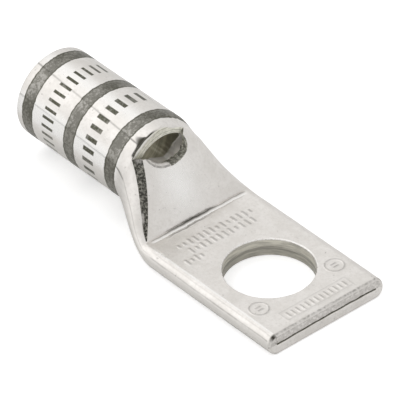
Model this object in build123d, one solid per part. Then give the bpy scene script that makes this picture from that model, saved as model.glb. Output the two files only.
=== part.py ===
from build123d import *
import os
from math import cos, radians, sin, sqrt, tan

os.makedirs("parts", exist_ok=True)

# Copper cable lug for one heavy conductor and one 1/2 inch stud, formed from a single length of tube.
# Millimetres. X runs along the lug to the tip of the tongue, Z is up.
# The origin is on the axis of the stud hole, in the underside of the tongue.

# Tube and barrel
barrel_diameter = 14.5
tube_wall = 1.75
barrel_length = 25.0
barrel_lift = 1.0
rim_chamfer = 0.3
mouth_chamfer = 0.5

# Tongue
tongue_width = 21.5
tongue_thickness = 3.1
hole_to_tip = 12.55
tip_lean = 0.5
hole_to_bend = 16.2
stud_hole = 13.5
hole_edge = 0.2
tip_edge = 0.35
seam_height = 0.15
seam_depth = 0.5
seam_inset = 1.3

# Pressed ramp between the bend and the sheared shoulder of the barrel
ramp_run = 6.8
ramp_angle = 57.0
shoulder_angle = 54.0
ramp_top_width = 8.8
ramp_foot_gap = 0.1
ramp_waist = 1.6
side_depth = 0.7
bulge_start = 2.8
spread_end = 2.5
spread_power = 0.8
belly_angle = 40.0
crown_steepest = 80.0
far_drop = 1.3
far_drop_end = 4.0

# Sight window over the end of the bore
shear_gap = 0.9
shear_depth = 2.6
window_diameter = 7.8
window_reach = 2.95

# Pocket inside the ramp, where the bore closes to a seam
seam_start = 1.1
seam_gap = 0.2

# Places worked out from the sizes above
barrel_radius = barrel_diameter / 2
bore_radius = barrel_radius - tube_wall
half_width = tongue_width / 2
edge_radius = tongue_thickness / 2
axis_height = barrel_lift + barrel_radius
bend_x = -hole_to_bend
shoulder_x = bend_x - ramp_run
mouth_x = shoulder_x - barrel_length
bulge_x = shoulder_x - bulge_start
flat_x = bend_x + spread_end
flat_half = half_width - edge_radius
ramp_slope = tan(radians(ramp_angle))
above = 2 * barrel_diameter


def mix(start, end, share):
    return start + (end - start) * share


def flattened(x):
    """Share of the way from round tube to flat tongue, 0 at the bulge's start and 1 on the tongue."""
    along = max(0.0, min(1.0, (x - bulge_x) / (flat_x - bulge_x))) ** spread_power
    return along * along * (3 - 2 * along)


def ramp_height(x):
    """Height of the ramp's flat above the underside; past the bend it is the tongue's top."""
    return tongue_thickness + max(0.0, bend_x - x) * ramp_slope


def down_ramp(x):
    """0 at the shoulder, 1 at the bend."""
    return max(0.0, min(1.0, (x - shoulder_x) / ramp_run))


def ramp_half(x):
    """Half the width of the ramp's flat, which opens out towards the bend."""
    return mix(ramp_top_width / 2, flat_half - ramp_foot_gap, down_ramp(x) ** ramp_waist)


def ramp_side(x):
    """Foot of the sheared side of the ramp, as half width and height."""
    down = down_ramp(x)
    fade = 1 - down ** 4
    belly = side_depth * 4 * down * (1 - down)
    step_out = barrel_radius * sin(radians(shoulder_angle)) - ramp_top_width / 2
    top = axis_height + barrel_radius * cos(radians(shoulder_angle))
    step_down = ramp_height(shoulder_x) - top
    out = mix(ramp_foot_gap, step_out, fade)
    return ramp_half(x) + out, ramp_height(max(x, shoulder_x)) - step_down * fade - belly


def far_fall(x):
    """How far the +Y flank, bent down without a shear, lies below the sheared one."""
    if x < shoulder_x:
        along = max(0.0, (x - bulge_x) / bulge_start)
    else:
        along = max(0.0, 1 - (x - shoulder_x) / far_drop_end)
    return far_drop * along * along * (3 - 2 * along)


def station(x):
    return Plane(origin=(x, 0, 0), x_dir=(0, 1, 0), z_dir=(1, 0, 0))


def curve(start, start_angle, end, end_angle, pull):
    """Control points of a smooth edge; pull is the length of its handles as a share of the chord."""
    reach = pull * sqrt((end[0] - start[0]) ** 2 + (end[1] - start[1]) ** 2)
    first = (start[0] + reach * cos(radians(start_angle)), start[1] + reach * sin(radians(start_angle)))
    second = (end[0] - reach * cos(radians(end_angle)), end[1] - reach * sin(radians(end_angle)))
    return [start, first, second, end]


def arc_pull(turn):
    """Handle length, as a share of the chord, that makes a curve of this turn a circle's arc."""
    return 4 / 3 * tan(radians(turn) / 4) / (2 * sin(radians(turn) / 2))


def mirrored(points):
    return [(-y, z) for y, z in reversed(points)]


def crown_curve(x):
    """Top of the section, between the feet of the two flanks; the press takes most of it off."""
    side_y, side_z = ramp_side(x)
    angle = mix(shoulder_angle, crown_steepest, down_ramp(x))
    return curve((-side_y, side_z), angle, (side_y, side_z - far_fall(x)), -angle,
                 arc_pull(2 * angle) * barrel_radius * sin(radians(angle)) / side_y)


def round_edges():
    """The barrel's circle, in arcs that end where the edges of the formed section do."""
    stops = [90 + shoulder_angle, 90 - shoulder_angle, 0, belly_angle - 90, -90 - belly_angle, -180,
             shoulder_angle - 270]
    return [CenterArc((0, axis_height), barrel_radius, start, end - start)
            for start, end in zip(stops, stops[1:])]


def formed_edges(x):
    """The flattening tube between barrel and tongue: crown, flanks, bellies and bottom."""
    share = flattened(x)
    side_y, side_z = ramp_side(x)
    widest = (mix(barrel_radius, half_width, share), mix(axis_height, edge_radius, share))
    belly = (mix(barrel_radius * sin(radians(belly_angle)), flat_half, share),
             mix(axis_height - barrel_radius * cos(radians(belly_angle)), 0, share))
    lowest = mix(barrel_lift, 0, share)
    near, far = [curve((side_y, side_z - fall), mix(-shoulder_angle, 0, share ** 2), widest, -90,
                       mix(arc_pull(90 - shoulder_angle), arc_pull(90), share)) for fall in (0, far_fall(x))]
    belly_turn = mix(belly_angle, 0, share)
    lower = curve(widest, -90, belly, belly_turn - 180,
                  mix(arc_pull(90 - belly_angle), arc_pull(90), share))
    drop = (belly[1] - lowest) / 0.75
    run = mix(4 / 3 * tan(radians(belly_angle) / 2) * barrel_radius * cos(radians(belly_angle)),
              2 / 3 * flat_half, share)
    bottom = [belly, (belly[0] - run, belly[1] - drop), (run - belly[0], belly[1] - drop),
              (-belly[0], belly[1])]
    sides = [crown_curve(x), far, lower, bottom, mirrored(lower), mirrored(near)]
    return [Bezier(*points) for points in sides]


def flat_edges():
    """The tongue: a flat underside and full round edges, under a crown."""
    far, near = (flat_half, edge_radius), (-flat_half, edge_radius)
    return [Bezier(*crown_curve(flat_x)),
            CenterArc(far, edge_radius, 90, -90), CenterArc(far, edge_radius, 0, -90),
            Line((flat_half, 0), (-flat_half, 0)),
            CenterArc(near, edge_radius, -90, -90), CenterArc(near, edge_radius, 180, -90)]


def tube_section(x):
    """Closed outline of the flattened tube at x, still with the crown that the press takes off."""
    if x <= bulge_x:
        edges = round_edges()
    elif x >= flat_x:
        edges = flat_edges()
    else:
        edges = formed_edges(x)
    return make_face([station(x) * edge for edge in edges])


def spaced(start, end, count):
    return [mix(start, end, i / count) for i in range(count + 1)]


def box_between(low, high):
    size = [b - a for a, b in zip(low, high)]
    return Location(low) * Box(*size, align=(Align.MIN, Align.MIN, Align.MIN))


def blank():
    """The tube after flattening and before the press: barrel, bulging flanks and tongue, all crowned."""
    barrel = station(mouth_x) * Pos(0, axis_height) * Cylinder(
        barrel_radius, bulge_x - mouth_x, align=(Align.CENTER, Align.CENTER, Align.MIN))
    mouth_rim = barrel.edges().group_by(Axis.X)[0]
    body = chamfer(mouth_rim, rim_chamfer)
    for start, end, count in ((bulge_x, shoulder_x, 3), (shoulder_x, bend_x, 5), (bend_x, flat_x, 2)):
        body += loft([tube_section(x) for x in spaced(start, end, count)])
    body += extrude(tube_section(flat_x), hole_to_tip - flat_x, dir=(1, 0, 0))
    return body


def press_section(x):
    """What the press takes off at x: over the ramp's flat, down its sheared sides and off over the flanks."""
    side_y, side_z = ramp_side(x)
    out = half_width
    right = [(ramp_half(x), ramp_height(x)), (side_y, side_z), (side_y + out, side_z + out / 10),
             (side_y + out, above)]
    return make_face([station(x) * Polyline(*mirrored(right), *right, close=True)])


def press():
    """The press tool: its slanted face makes the ramp, its flat one the top of the tongue."""
    ramp = loft([press_section(x) for x in spaced(shoulder_x, bend_x, 5)])
    flat = box_between((bend_x, -tongue_width, tongue_thickness),
                       (hole_to_tip + tongue_width, tongue_width, above))
    return ramp + flat


def pocket_section(x):
    """The inside of the tube at x, which closes from the round bore to a seam."""
    share = flattened(x)
    wall = mix(tube_wall, (tongue_thickness - seam_gap) / 2, share)
    bottom = mix(barrel_lift, 0, share) + wall
    crown = axis_height + bore_radius
    ramp_lid = ramp_height(max(x, shoulder_x)) - tube_wall / cos(radians(ramp_angle))
    lid = mix(crown, ramp_lid, min(1.0, (x - bulge_x) / bulge_start))
    top = max(lid, bottom + seam_gap)
    across = mix(barrel_radius, half_width, share) - tube_wall
    return station(x) * Pos(0, (top + bottom) / 2) * Ellipse(across, (top - bottom) / 2)


def inside():
    """Bore of the barrel and the pocket that closes under the ramp."""
    start = station(mouth_x) * Pos(0, axis_height)
    bore = start * Cylinder(bore_radius, barrel_length + shear_gap / 2,
                            align=(Align.CENTER, Align.CENTER, Align.MIN))
    flare = start * Cone(bore_radius + mouth_chamfer, bore_radius, mouth_chamfer,
                         align=(Align.CENTER, Align.CENTER, Align.MIN))
    pocket = loft([pocket_section(x) for x in spaced(bulge_x, bend_x - seam_start, 7)])
    return bore + flare + pocket


def window():
    """Sight window: the tube sheared open at the shoulder, and a round bite out of the ramp's top edge."""
    slot_up = (ramp_run - shear_gap) / cos(radians(ramp_angle))
    centre_up = slot_up - window_reach + window_diameter / 2
    corner = sqrt((window_diameter / 2) ** 2 - (centre_up - slot_up) ** 2)
    reach = barrel_radius * sin(radians(shoulder_angle))
    plan = Polyline((shoulder_x, -reach), (shoulder_x + shear_gap, -ramp_top_width / 2),
                    (shoulder_x + shear_gap, corner), (shoulder_x, corner), close=True)
    floor = ramp_height(shoulder_x) - shear_depth
    shear = extrude(Plane.XY.offset(floor) * make_face([plan]), above, dir=(0, 0, 1))
    slot = box_between((shoulder_x, -corner, axis_height), (shoulder_x + shear_gap, corner, above))
    tilt = Plane(origin=(bend_x, 0, tongue_thickness), x_dir=(0, 1, 0),
                 z_dir=(sin(radians(ramp_angle)), 0, cos(radians(ramp_angle))))
    bite = tilt * Pos(0, centre_up, -tube_wall - shear_gap) * Cylinder(
        window_diameter / 2, above, align=(Align.CENTER, Align.CENTER, Align.MIN))
    ahead = box_between((shoulder_x, -tongue_width, 0), (bend_x, tongue_width, 2 * above))
    return shear + slot + (bite & ahead)


def stud_hole_cut():
    """Through hole for the stud, with both edges broken."""
    radius = stud_hole / 2
    profile = Polyline((0, -1), (radius + hole_edge + 1, -1), (radius, hole_edge),
                       (radius, tongue_thickness - hole_edge),
                       (radius + hole_edge + 1, tongue_thickness + 1), (0, tongue_thickness + 1), close=True)
    return revolve(Plane.XZ * make_face([profile]), Axis.Z)


def tip_shear():
    """What the shear takes off the end of the tongue; it leaves the face leaning back towards the hole."""
    side = Polyline((hole_to_tip, 0), (hole_to_tip - tip_lean, tongue_thickness),
                    (hole_to_tip + tip_lean, tongue_thickness), (hole_to_tip + tip_lean, 0), close=True)
    return extrude(Plane.XZ * make_face([side]), tongue_width, both=True)


def seam():
    """The closed seam of the tube, which shows as a fine slit across the cut end of the tongue."""
    reach = half_width - seam_inset
    low = (hole_to_tip - tip_lean - seam_depth, -reach, (tongue_thickness - seam_height) / 2)
    return box_between(low, (hole_to_tip + 1, reach, (tongue_thickness + seam_height) / 2))


def cable_lug():
    body = blank() - press() - tip_shear()
    tip_rim = body.faces().sort_by(Axis.X)[-1].edges()
    body = fillet(tip_rim, tip_edge)
    body = body - inside() - window() - stud_hole_cut() - seam()
    return body.solid()


lug = cable_lug()
lug.label = "cable_lug"
export_step(lug, "parts/cable_lug.step")
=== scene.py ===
"""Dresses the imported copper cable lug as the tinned, printed part of the photo, on a white studio floor.

The lug is one formed tube. Its skin is a grid of points: rows run round the section, one row for each
station along X, and the openings are cut from it by closed surfaces of the same kind.
Sizes are worked out in millimetres along X, Y and Z and put into the mesh in metres.
"""

from functools import reduce
from math import asin, cos, pi, radians, sin, sqrt, tan

import bmesh
import bpy
import numpy as np
from mathutils import Matrix, Vector


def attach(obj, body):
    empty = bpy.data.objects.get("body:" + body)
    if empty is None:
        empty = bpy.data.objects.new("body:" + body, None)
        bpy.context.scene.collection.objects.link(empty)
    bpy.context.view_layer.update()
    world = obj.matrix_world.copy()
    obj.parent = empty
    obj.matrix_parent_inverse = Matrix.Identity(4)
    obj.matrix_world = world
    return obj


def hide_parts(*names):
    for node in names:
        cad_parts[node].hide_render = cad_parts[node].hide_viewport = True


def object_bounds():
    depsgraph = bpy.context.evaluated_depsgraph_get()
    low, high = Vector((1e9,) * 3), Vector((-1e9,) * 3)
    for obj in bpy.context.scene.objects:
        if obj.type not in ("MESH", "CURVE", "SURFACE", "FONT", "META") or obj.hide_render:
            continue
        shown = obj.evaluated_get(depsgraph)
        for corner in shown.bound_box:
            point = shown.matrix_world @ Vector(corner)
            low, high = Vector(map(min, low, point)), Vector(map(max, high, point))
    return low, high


bl_info = {
    "name": "Tinned cable lug",
    "version": (1, 0, 0),
    "blender": (4, 5, 0),
    "location": "View3D > Sidebar > Cable Lug",
    "description": "Builds a tinned copper cable lug with its printed bands, sight window and studio",
    "category": "Object",
}

MM = 0.001
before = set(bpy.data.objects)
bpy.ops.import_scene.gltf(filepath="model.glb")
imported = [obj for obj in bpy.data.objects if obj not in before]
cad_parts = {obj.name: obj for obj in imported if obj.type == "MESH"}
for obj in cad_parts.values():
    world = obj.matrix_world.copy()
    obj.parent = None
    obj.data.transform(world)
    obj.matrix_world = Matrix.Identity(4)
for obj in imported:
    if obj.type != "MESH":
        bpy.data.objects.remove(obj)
cad_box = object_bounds()


# Sizes and colours a user may change


def length(name, description, default_mm):
    return bpy.props.FloatProperty(name=name, description=description, default=default_mm * MM,
                                   min=0.0, precision=5, unit="LENGTH")


def angle(name, description, default_degrees):
    return bpy.props.FloatProperty(name=name, description=description, default=radians(default_degrees),
                                   unit="ROTATION")


def colour(name, description, default):
    return bpy.props.FloatVectorProperty(name=name, description=description, default=default, size=3,
                                         min=0.0, max=1.0, subtype="COLOR")


def share(name, description, default):
    return bpy.props.FloatProperty(name=name, description=description, default=default, min=0.0, max=1.0,
                                   subtype="FACTOR")


def number(name, description, default, **kind):
    return bpy.props.FloatProperty(name=name, description=description, default=default, **kind)


class LugSizes(bpy.types.PropertyGroup):
    """Sizes of the formed tube."""

    barrel_diameter: length("Barrel diameter", "Outside diameter of the tube", 14.5)
    tube_wall: length("Tube wall", "Thickness of the tube's wall", 1.75)
    barrel_length: length("Barrel length", "From the open end to the sheared shoulder", 25.0)
    barrel_lift: length("Barrel lift", "Height of the barrel's underside over the tongue's", 1.0)
    rim_round: length("Rim round", "Radius at the barrel's open end", 0.3)
    tongue_width: length("Tongue width", "Width of the flattened tube", 21.5)
    tongue_thickness: length("Tongue thickness", "Thickness of the two flattened walls", 3.1)
    hole_to_tip: length("Hole to tip", "From the stud hole's axis to the lower edge of the tip", 12.55)
    tip_lean: length("Tip lean", "How far the sheared tip leans back at its top", 0.5)
    tip_round: length("Tip round", "Radius of the edges round the tip", 0.35)
    hole_to_bend: length("Hole to bend", "From the stud hole's axis to the foot of the ramp", 16.2)
    stud_hole: length("Stud hole", "Diameter of the hole in the tongue", 13.5)
    hole_round: length("Hole round", "Radius of the hole's edges", 0.22)
    ramp_run: length("Ramp run", "Length of the ramp along the lug", 6.8)
    ramp_angle: angle("Ramp angle", "Slope of the ramp over the tongue", 57.0)
    shoulder_angle: angle("Shoulder angle", "Where the shear ends, from the top of the barrel", 54.0)
    ramp_top_width: length("Ramp top width", "Width of the ramp at the shoulder", 8.8)
    side_depth: length("Side depth", "How far the sheared side sags below a straight line", 0.7)
    bulge_start: length("Bulge start", "Where the flanks start to spread, before the shoulder", 2.8)
    spread_end: length("Spread end", "Where the tongue has its full width, past the bend", 2.5)
    belly_angle: angle("Belly angle", "Half the width of the barrel's underside that flattens first", 40.0)
    shear_gap: length("Shear gap", "Width of the cut over the end of the bore", 0.9)
    shear_depth: length("Shear depth", "Depth of the cut below the ramp's corner", 2.6)
    window_diameter: length("Window diameter", "Diameter of the round bite in the ramp's edge", 7.8)
    window_reach: length("Window reach", "How far the bite goes down the ramp", 2.95)
    bite_lip: length("Bite lip", "Width of the bite's rolled edge on the -Y side", 0.8)
    bite_drop: length("Bite drop", "How deep that edge rolls in", 0.55)
    lip_round: length("Lip round", "Radius of the barrel's edge over the cut, on the +Y side", 0.55)
    seam_start: length("Seam start", "Where the inside closes, before the bend", 1.1)
    seam_gap: length("Seam gap", "Height of the inside where it closes", 0.2)


class LugFinish(bpy.types.PropertyGroup):
    """Colours of the tin plating, the print and the sheared copper, and of the painted highlights and painted shade."""

    tin: colour("Tin", "Colour of the tin plating", (0.80, 0.772, 0.74))
    tin_shade: colour("Tin shade", "Colour of the duller patches of the plating", (0.70, 0.672, 0.635))
    # Rubbed tin and painted highlight: the barrel's and ramp's bright streaks, the near edge, the crease's lip, the cut
    # wall's rim, the pocket's edge and the hole's rims.
    burnished: colour("Burnished tin", "Colour of rubbed edges", (0.94, 0.93, 0.91))
    ink: colour("Ink", "Colour of the printed bands", (0.12, 0.116, 0.095))
    ink_worn: colour("Worn ink", "Colour of the bands where the ink is thin", (0.29, 0.28, 0.25))
    ink_lit: colour("Lit ink", "Colour of the bands where the ink shines", (0.6, 0.58, 0.55))
    ink_edge: colour("Ink edge", "Colour of the bands' edges, where the ink is thick", (0.085, 0.085, 0.06))
    # Grime and painted shade: also the dark of the crease, the stamped dents, the barrel's sheared edge and the cut
    # wall's outer edge.
    grime: colour("Grime", "Colour in grooves and sheared corners", (0.05, 0.048, 0.038))
    sheared: colour("Sheared metal", "Colour of the rough sheared sides", (0.075, 0.073, 0.06))
    sheared_light: colour("Sheared metal, light", "Colour of the torn specks of the sheared sides", (0.30, 0.29, 0.255))
    cut: colour("Cut wall", "Colour of the cut wall over the bore", (0.93, 0.92, 0.83))
    cut_dark: colour("Cut wall, dark", "Colour of the torn rings of the cut wall", (0.52, 0.51, 0.43))
    # Painted shade: the barrel's sides and the lower -Y flank are darkened to this colour, in streaks; in the bore it
    # is a plain tin tone near the mouth.
    tin_dull: colour("Dull tin", "Colour of the plating on the drawn edges", (0.68, 0.66, 0.625))
    torn: colour("Torn wall", "Colour of the torn wall of the bite", (0.13, 0.127, 0.105))
    torn_light: colour("Torn wall, light", "Colour of its bright tears", (0.5, 0.49, 0.43))
    # Painted shade: the slit between the two walls is drawn in this dark colour.
    slit: colour("Slit", "Colour in the slit of the tip", (0.17, 0.16, 0.125))
    # Painted shade: the barrel's inside is drawn in this dark colour away from the mouth.
    bore: colour("Bore", "Colour of the plating inside the barrel", (0.29, 0.275, 0.21))
    pocket: colour("Pocket", "Colour of the plating where the tube closes", (0.95, 0.93, 0.90))
    hole: colour("Hole wall", "Colour of the punched wall of the stud hole", (0.62, 0.595, 0.52))
    tin_roughness: share("Tin roughness", "Roughness of the plating", 0.34)


class LugStudio(bpy.types.PropertyGroup):
    """Floor, lamps and camera."""

    floor: colour("Floor", "Colour of the floor", (0.80, 0.80, 0.80))
    floor_lift: share("Floor lift", "Light the floor adds towards the camera, to show as white", 0.45)
    floor_lift_in_metal: share("Floor lift in metal", "Light the floor adds in reflections", 0.06)
    world_level: number("World level", "Strength of the dome away from the soft box", 0.85)
    soft_box: bpy.props.FloatVectorProperty(name="Soft box", description="Direction of the soft box", size=3,
                                            default=(-0.61, -0.5, 0.61), subtype="DIRECTION")
    soft_box_edge: number("Soft box edge", "Cosine of the angle where its glow ends", 0.1)
    soft_box_level: number("Soft box level", "Strength at its middle", 1.15)
    key_power: number("Key power", "Power of the main lamp in watts", 0.18, unit="POWER")
    fill_power: number("Fill power", "Power of the side lamp in watts", 0.1, unit="POWER")
    snoot_power: number("Snoot power", "Power of the narrow lamp aimed into the bore", 13.0, unit="POWER")
    azimuth: angle("Azimuth", "Camera's turn round the lug", 50.703)
    elevation: angle("Elevation", "Camera's height over the horizon", 37.526)
    roll: angle("Roll", "Camera's turn about its own line of sight", -1.876)
    distance: length("Distance", "From the stud hole to the camera", 700.0)
    focal: number("Focal length", "In millimetres on a 36 mm sensor", 443.646)
    aim: bpy.props.FloatVectorProperty(name="Aim", description="Camera's offset right and up", size=2,
                                       default=(-9.842 * MM, 9.634 * MM), precision=5, unit="LENGTH")


# Names for numbers; lengths are in millimetres

GROUPS = {"side": 12, "top": 150, "far": 24, "far_low": 12, "under": 26, "near_low": 18, "near": 32}
# Marks of a point: a dark line; grime and painted shade; rub and painted highlight; painted shade of the sides
LINE, GRIME_AND_SHADE, RUB_AND_HIGHLIGHT, SIDE_SHADE = range(4)  # what the four marks of a point stand for
TIN, SHEARED, CUT, TIP, SLIT = range(5)  # the skin's material slots
TORN, ROLLED, EDGED = range(3)  # the bite's material slots
FAR_INSET, FAR_OUTSET = 0.8, 0.1  # from the ramp's half width to its +Y edge, at the shoulder and at the bend
SHEAR_END = radians(-52)  # turn from the barrel's top where the sheared edge ends on the -Y side
GROOVE_START = radians(-31)  # turn where the groove along that edge starts
DENT_TURN, SECOND_DENT_TURN, DENT_DEPTH = radians(-30.5), radians(-39), 0.3
SCREW_TURN, SCREW_TWIST = radians(-23.4), radians(0.5)  # the screw line's turn at the mouth, and its fall per length
FLANK_STOPS = (-22.0, -13.0)  # stations on the ramp and on the tongue that the -Y flank's draw line passes
CREASE_PAST_BEND = 0.34
LIP_HEIGHT, GROOVE_DEPTH, SECOND_DEPTH = 0.085, 0.36, 0.035  # along the foot of the ramp
STRONG_AT = ((-9.0, 0.15), (-7.1, 0.35), (-4.1, 0.8), (-1.1, 1.0), (1.9, 0.9), (4.9, 0.3), (7.9, 0.4))  # Y, strength
RIPPLES = ((0.014, 11, 3), (0.008, 4, 4))  # height, cell of the grid and seed
SHARP_TURN = radians(32)  # edges that turn by more than this aren't shaded smooth
MERGE, NO_LENGTH = 0.002, 0.001  # points closer than the first are merged, and edges under the second dissolved
CUT_START = 0.012  # the cuts start this far past the shoulder, so that no faces lie in one plane
TIP_SHARES = np.array([0.1, 0.22, 0.34, 0.46, 0.58, 0.7, 0.8, 0.89, 0.955, 0.97, 0.978])  # from the rim to the middle
TIP_DEPTHS = np.array([0.01, 0.02, 0.02, 0.01, 0.0, 0.0, 0.0, 0.03, 0.1, 0.22, 0.4])
STAMP_DEPTH = 0.12
STAMPED_ROWS = ((-12.1, -6.4, 6.6, 14), (-10.25, -5.6, 5.6, 12), (-8.5, -7.8, -5.2, 4))  # X, first and last Y, count
STAMPED_RINGS = ((7.2, 5.8), (-7.2, 6.05))  # Y and X of their centres
FRAME_X, FRAME_HALF = 9.85, 1.1  # middle and half depth of the stamped frame
BANDS = ((1.35, 3.7, 0.0), (11.1, 13.5, 0.035), (20.65, 23.05, 0.065))  # start and end from the mouth, askew per Y
INK_BARS = ((6.1, 8.6, 11.0, 0.34), (15.5, 17.9, 14.0, 0.4))  # start, end, step in degrees, share of it inked
BITE_TURNS = (0, 93, 108, 121, 135, 152, 168, 186, 203, 218, 232, 247, 262, 300, 360)  # degrees round the bite
BITE_RADII = (3.0, 3.1, 3.5, 3.78, 3.8, 3.62, 3.5, 3.55, 3.75, 3.92, 4.1, 4.2, 4.2, 3.9, 3.0)
POCKET_EDGE = ((75, 100, 1.7), (100, 128, 1.0), (128, 142, 2.1))  # from and to degrees, and how far it draws back
# Brightness by height: the punched layers, the dark seam where the walls meet, and painted shade just below it.
HOLE_LAYERS = ((0.0, 0.5), (0.07, 0.55), (0.13, 0.95), (0.22, 0.75), (0.32, 0.95), (0.41, 0.5), (0.49, 0.5),
               (0.55, 1.0), (0.88, 1.2), (0.94, 0.7), (1.0, 0.6))  # share of the wall's height, and its brightness


# Small helpers on whole arrays


def mix(start, end, part):
    """From start to end by a share: start plus the share of the difference."""
    return start + (end - start) * part


def smooth(part):
    """Rises from 0 to 1 with level ends: 3 t squared less 2 t cubed."""
    part = np.clip(part, 0.0, 1.0)
    return part * part * (3 - 2 * part)


def bell(x, centre, width, power=2):
    """1 at the centre, falling to both sides: e to the minus of the distance in widths, raised to the power."""
    return np.exp(-((x - centre) / width) ** power)


def ease(x, stops, values):
    """Value at x between named stops, eased from each to the next so that it never kinks."""
    x = np.clip(x, stops[0], stops[-1])
    place = np.interp(x, stops, np.arange(len(stops), dtype=float))
    low = np.minimum(np.floor(place).astype(int), len(stops) - 2)
    values = np.asarray(values, float)
    return mix(values[low], values[low + 1], smooth(place - low))


def arc_pull(turn):
    """Handle of a cubic curve, as a share of its chord, that turns it through this angle as a circle does."""
    return 4 / 3 * np.tan(turn / 4) / (2 * np.sin(turn / 2))


def cubic(points, t):
    """Cubic curve of four control points for every row, at the parameters t: one row of points each."""
    (y0, z0), (y1, z1), (y2, z2), (y3, z3) = [tuple(np.asarray(c)[:, None] for c in p) for p in points]
    w0, w1, w2, w3 = (1 - t) ** 3, 3 * t * (1 - t) ** 2, 3 * t * t * (1 - t), t ** 3
    return w0 * y0 + w1 * y1 + w2 * y2 + w3 * y3, w0 * z0 + w1 * z1 + w2 * z2 + w3 * z3


def handled(start, start_angle, end, end_angle, start_pull, end_pull):
    """Control points from two ends, their directions and the lengths of their handles."""
    return [start,
            (start[0] + start_pull * np.cos(start_angle), start[1] + start_pull * np.sin(start_angle)),
            (end[0] - end_pull * np.cos(end_angle), end[1] - end_pull * np.sin(end_angle)), end]


def chord(start, end):
    """Straight distance between two points: the root of the sum of squares."""
    return np.hypot(end[0] - start[0], end[1] - start[1])


def speckle(shape, cell, seed):
    """Smooth random field between -1 and 1: random values on a coarse grid, eased between its cells."""
    rows, columns = shape
    make = np.random.default_rng(seed)
    coarse = make.uniform(-1, 1, (int(rows / cell[0]) + 3, int(columns / cell[1]) + 3))
    u, v = np.arange(rows) / cell[0], np.arange(columns) / cell[1]
    i, j = u.astype(int), v.astype(int)
    a, b = smooth(u - i)[:, None], smooth(v - j)[None, :]
    return mix(mix(coarse[i][:, j], coarse[i + 1][:, j], a), mix(coarse[i][:, j + 1], coarse[i + 1][:, j + 1], a), b)


def skin_mesh(name, grid, slots=None, marks=None):
    """Closed mesh of a grid of points in millimetres, rows by columns, the columns running round.

    Each end row is closed by a fan to its mean point. slots gives a material index to each face of the grid,
    and marks four numbers to each point: dark line, grime and painted shade, rub and painted highlight, and
    painted shade of the sides.
    The faces are turned outwards by the sign of the volume inside, a third of the sum of place times area.
    """
    rows, columns, _ = grid.shape
    points = grid.reshape(-1, 3)
    index = np.arange(rows * columns).reshape(rows, columns)
    after = np.roll(index, -1, axis=1)
    quads = np.stack([index[:-1], index[1:], after[1:], after[:-1]], axis=-1).reshape(-1, 4)
    mesh = bpy.data.meshes.new(name)
    centres = np.stack([grid[0].mean(0), grid[-1].mean(0)])
    points = np.concatenate([points, centres])
    first, last = rows * columns, rows * columns + 1
    start_fan = np.stack([np.full(columns, first), index[0], after[0]], axis=-1)
    end_fan = np.stack([np.full(columns, last), after[-1], index[-1]], axis=-1)
    area = np.cross(points[quads[:, 2]] - points[quads[:, 0]], points[quads[:, 3]] - points[quads[:, 1]])
    if np.sum((points[quads].mean(1) - points.mean(0)) * area) < 0:
        quads, start_fan, end_fan = quads[:, ::-1], start_fan[:, ::-1], end_fan[:, ::-1]
    corners = np.concatenate([quads.ravel(), start_fan.ravel(), end_fan.ravel()])
    sizes = np.concatenate([np.full(len(quads), 4), np.full(2 * columns, 3)])
    mesh.vertices.add(len(points))
    mesh.vertices.foreach_set("co", (points * MM).astype(np.float32).ravel())
    mesh.loops.add(len(corners))
    mesh.loops.foreach_set("vertex_index", corners.astype(np.int32))
    mesh.polygons.add(len(sizes))
    mesh.polygons.foreach_set("loop_start", np.concatenate([[0], np.cumsum(sizes)[:-1]]).astype(np.int32))
    if slots is not None:
        per_face = np.concatenate([slots.ravel(), np.zeros(2 * columns)])
        mesh.polygons.foreach_set("material_index", per_face.astype(np.int32))
    if marks is not None:
        colours = np.zeros((len(points), 4))
        colours[:rows * columns] = marks.reshape(-1, 4)
        mesh.color_attributes.new("marks", "FLOAT_COLOR", "POINT").data.foreach_set("color", colours.ravel())
    mesh.update(calc_edges=True)
    mesh.validate()
    return mesh


def put_in_scene(name, mesh, materials=()):
    """Object of a mesh with its materials, at the origin."""
    piece = bpy.data.objects.new(name, mesh)
    for material in materials:
        mesh.materials.append(material)
    bpy.context.scene.collection.objects.link(piece)
    return piece


# The lug's form, in millimetres


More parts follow.
